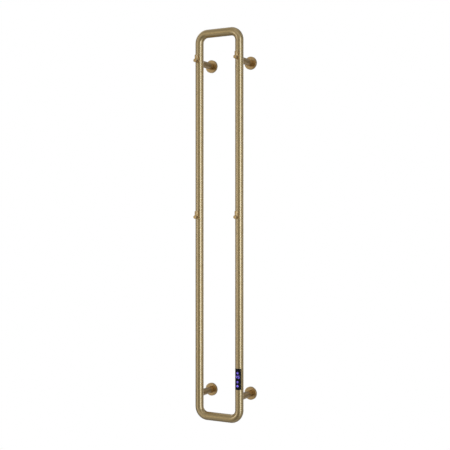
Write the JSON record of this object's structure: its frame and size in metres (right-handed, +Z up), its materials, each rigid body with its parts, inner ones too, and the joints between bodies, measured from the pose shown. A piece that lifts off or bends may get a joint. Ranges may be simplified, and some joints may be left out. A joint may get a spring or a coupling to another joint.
{
  "type": "towel warmer rack",
  "caption": "Wall-hung electric towel warmer: an upright loop of round brass-finished tube on standoff posts with round cover rosettes, towel hooks and a lit touch control in one leg.",
  "frame": {"origin": "on the wall plane, in the middle of the rectangle of the four wall plates", "axes": "+Z up along the loop's long side, +Y into the wall, so the rack's front faces -Y, and +X to the right of someone facing it"},
  "size_m": [0.178, 0.1098, 1.2],
  "materials": {
    "brushed_brass_tube": "stainless steel tube, brushed lengthwise, coated in pale antique brass",
    "brushed_brass_fittings": "turned stainless steel with the same pale antique brass coating, brushed round",
    "zinc_steel": "plain zinc-plated steel",
    "tinned_brass": "tinned",
    "rubber": "matte",
    "black_lens": "gloss black, lit blue-violet from behind",
    "black_gasket": "matte silicone",
    "carrier_plastic": "moulded, matte",
    "circuit_board": "green solder mask",
    "lamp_plastic": "clear lamp bodies",
    "component_plastic": "moulded, matte",
    "silicone_insulation": "smooth silicone",
    "sensor_ceramic": "plain"
  },
  "bodies": {
    "rack": {"left_leg_tube": "brushed_brass_tube", "right_leg_tube": "brushed_brass_tube", "top_bend": "brushed_brass_tube", "bottom_bend": "brushed_brass_tube", "top_left_post": "brushed_brass_fittings", "top_left_wall_plate": "zinc_steel", "top_right_post": "brushed_brass_fittings", "top_right_wall_plate": "zinc_steel", "bottom_left_post": "brushed_brass_fittings", "bottom_left_wall_plate": "zinc_steel", "bottom_right_post": "brushed_brass_fittings", "bottom_right_wall_plate": "zinc_steel", "top_left_hook": "brushed_brass_fittings", "top_right_hook": "brushed_brass_fittings", "middle_left_hook": "brushed_brass_fittings", "middle_right_hook": "brushed_brass_fittings", "grub_screws": "zinc_steel", "post_screws": "zinc_steel", "post_bushes": "zinc_steel", "nipple_bush": "zinc_steel", "hook_studs": "zinc_steel", "hook_bushes": "zinc_steel", "cable_nipple": "zinc_steel", "nipple_nut": "zinc_steel", "crimp_sleeves": "zinc_steel", "earth_tag": "tinned_brass", "cable_grommet": "rubber", "touch_lens": "black_lens", "lens_gasket": "black_gasket", "control_carrier": "carrier_plastic", "display_board": "circuit_board", "power_board": "circuit_board", "digit_display": "lamp_plastic", "indicator_lamps": "lamp_plastic", "touch_springs": "tinned_brass", "terminal_block": "component_plastic", "triac": "component_plastic", "smoothing_capacitor": "component_plastic", "board_header": "component_plastic", "heating_cable": "silicone_insulation", "control_leads": "silicone_insulation", "temperature_sensor": "sensor_ceramic", "thermal_fuse": "sensor_ceramic"},
    "top_left_cover": {"top_left_rosette": "brushed_brass_fittings", "top_left_rosette_ring": "rubber"},
    "top_right_cover": {"top_right_rosette": "brushed_brass_fittings", "top_right_rosette_ring": "rubber"},
    "bottom_left_cover": {"bottom_left_rosette": "brushed_brass_fittings", "bottom_left_rosette_ring": "rubber"},
    "bottom_right_cover": {"bottom_right_rosette": "brushed_brass_fittings", "bottom_right_rosette_ring": "rubber"}
  },
  "joints": [
    {"name": "top_left_cover_slide", "type": "slide", "parent": "rack", "child": "top_left_cover", "axis": [0, -1, 0], "range_m": [0, 0.05]},
    {"name": "top_right_cover_slide", "type": "slide", "parent": "rack", "child": "top_right_cover", "axis": [0, -1, 0], "range_m": [0, 0.05]},
    {"name": "bottom_left_cover_slide", "type": "slide", "parent": "rack", "child": "bottom_left_cover", "axis": [0, -1, 0], "range_m": [0, 0.05]},
    {"name": "bottom_right_cover_slide", "type": "slide", "parent": "rack", "child": "bottom_right_cover", "axis": [0, -1, 0], "range_m": [0, 0.05]}
  ]
}
